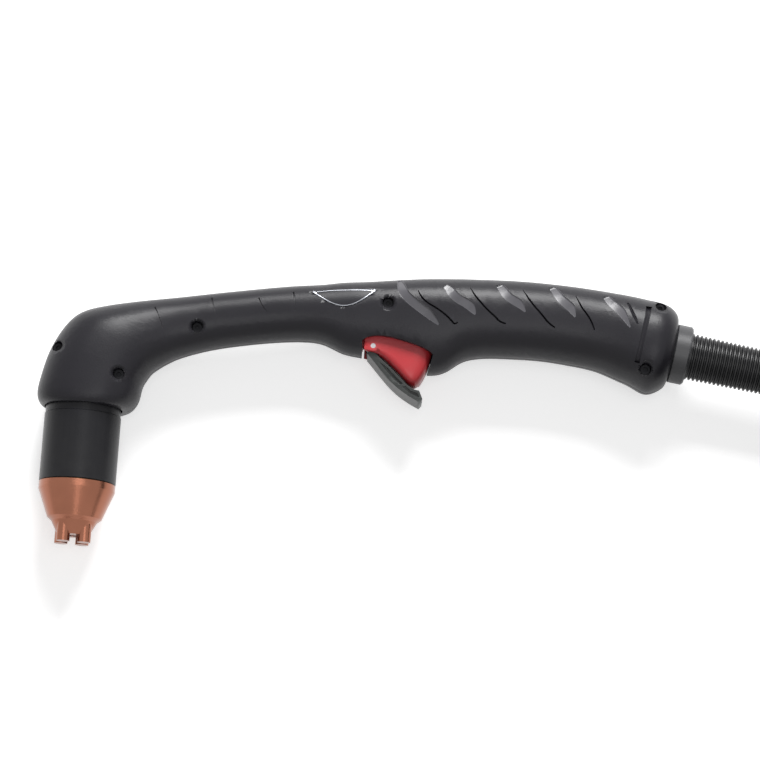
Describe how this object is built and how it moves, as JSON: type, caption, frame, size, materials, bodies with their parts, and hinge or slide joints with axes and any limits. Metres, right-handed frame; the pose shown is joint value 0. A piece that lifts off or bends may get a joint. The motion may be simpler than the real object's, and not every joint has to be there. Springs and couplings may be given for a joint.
{
  "type": "plasma cutter hand torch",
  "caption": "Pistol-neck plasma cutting hand torch with sprung trigger, safety lever, screw-on cap and consumables, ribbed strain relief, and a coiled lead ending in a latching plug.",
  "frame": {"origin": "middle of the retaining cap's exposed barrel, on its axis and on the handle's parting plane", "axes": "+Y along the cap's axis from the nozzle up into the head, +X along the handle to the tail and the lead, +Z out of the left side, so the torch lies on its right side"},
  "size_m": [0.5933, 0.2675, 0.1376],
  "materials": {
    "charcoal_plastic": "satin moulded",
    "screw_steel": "zinc plated",
    "spring_steel": "drawn wire",
    "badge_metal": "satin",
    "insulator_plastic": "moulded",
    "cap_black": "satin moulded",
    "brass": "machined",
    "copper": "machined copper",
    "hafnium": "bare",
    "trigger_red": "satin moulded",
    "safety_grey": "satin moulded",
    "switch_black": "moulded",
    "hose_rubber": "smooth",
    "wire_jacket": "smooth",
    "collar_grey": "satin moulded",
    "relief_rubber": "satin",
    "lead_rubber": "satin",
    "clamp_plastic": "moulded",
    "plug_black": "satin moulded",
    "plug_button_red": "satin moulded"
  },
  "bodies": {
    "handle": {"handle_left_shell": "charcoal_plastic", "handle_right_shell": "charcoal_plastic", "handle_screws": "screw_steel", "badge_plate": "badge_metal", "trigger_pin": "screw_steel", "trigger_spring": "spring_steel", "torch_body": "insulator_plastic", "cap_o_ring": "hose_rubber", "thread_ring": "brass", "cathode_block": "brass", "swirl_ring": "insulator_plastic", "nozzle": "copper", "cap_sensor_switch": "switch_black", "sensor_wire": "wire_jacket", "pilot_terminal": "brass", "pilot_wire": "wire_jacket", "gas_tube": "brass", "tube_nut": "brass", "gas_hose": "hose_rubber", "start_switch": "switch_black", "switch_wire": "wire_jacket", "tail_collar": "collar_grey", "strain_relief": "relief_rubber", "lead_inner_end": "lead_rubber", "lead_clamp": "clamp_plastic", "clamp_screws": "screw_steel", "torch_lead_run": "lead_rubber", "torch_lead_coil": "lead_rubber", "torch_lead_tail": "lead_rubber", "plug_boot": "relief_rubber", "plug_lead_end": "lead_rubber", "plug_upper_shell": "plug_black", "plug_lower_shell": "plug_black", "plug_screws": "screw_steel", "plug_nose": "insulator_plastic", "plug_gas_pin": "brass", "plug_signal_pins": "brass", "plug_latch_spring": "spring_steel"},
    "trigger": {"trigger": "trigger_red", "safety_pin": "screw_steel", "safety_spring": "spring_steel"},
    "safety_lever": {"safety_lever": "safety_grey"},
    "switch_button": {"start_switch_button": "switch_black"},
    "cap": {"retaining_cap": "cap_black"},
    "cap_screw": {"cap_insert": "brass", "shield": "copper"},
    "sensor_rod": {"cap_sensor_rod": "switch_black"},
    "electrode": {"electrode": "copper", "hafnium_insert": "hafnium", "plunger": "brass", "plunger_spring": "spring_steel"},
    "plug_button": {"plug_latch_button": "plug_button_red"}
  },
  "joints": [
    {"name": "trigger_squeeze", "type": "hinge", "parent": "handle", "child": "trigger", "pos_m": [0.1275, 0.0614, 0], "axis": [0, 0, 1], "range_deg": [0, 7], "stiffness_Nm_per_rad": 1, "springref_deg": -2.86},
    {"name": "safety_swing", "type": "hinge", "parent": "trigger", "child": "safety_lever", "pos_m": [0.1364, 0.0575, 0], "axis": [0, 0, -1], "range_deg": [0, 24], "stiffness_Nm_per_rad": 0.08, "springref_deg": -5.73},
    {"name": "switch_press", "type": "slide", "parent": "handle", "child": "switch_button", "axis": [0, 1, 0], "range_m": [0, 0.0033]},
    {"name": "cap_unscrew", "type": "slide", "parent": "handle", "child": "cap", "axis": [0, -1, 0], "range_m": [0, 0.0075]},
    {"name": "cap_turn", "type": "hinge", "parent": "cap", "child": "cap_screw", "pos_m": [0, 0, 0], "axis": [0, -1, 0], "range_deg": [0, 900]},
    {"name": "sensor_follow", "type": "slide", "parent": "handle", "child": "sensor_rod", "axis": [0, -1, 0], "range_m": [0, 0.0015]},
    {"name": "electrode_blow_back", "type": "slide", "parent": "handle", "child": "electrode", "axis": [0, 1, 0], "range_m": [0, 0.0025], "stiffness_N_per_m": 800, "springref_m": -0.002},
    {"name": "plug_latch_press", "type": "slide", "parent": "handle", "child": "plug_button", "axis": [0, 0, -1], "range_m": [0, 0.002], "stiffness_N_per_m": 1000, "springref_m": -0.001}
  ],
  "couplings": [
    {"joint": "switch_press", "follows": "trigger_squeeze", "m_per_rad": 0.027},
    {"joint": "cap_turn", "follows": "cap_unscrew", "rad_per_m": 2094},
    {"joint": "sensor_follow", "follows": "cap_unscrew", "ratio": 0.2}
  ]
}
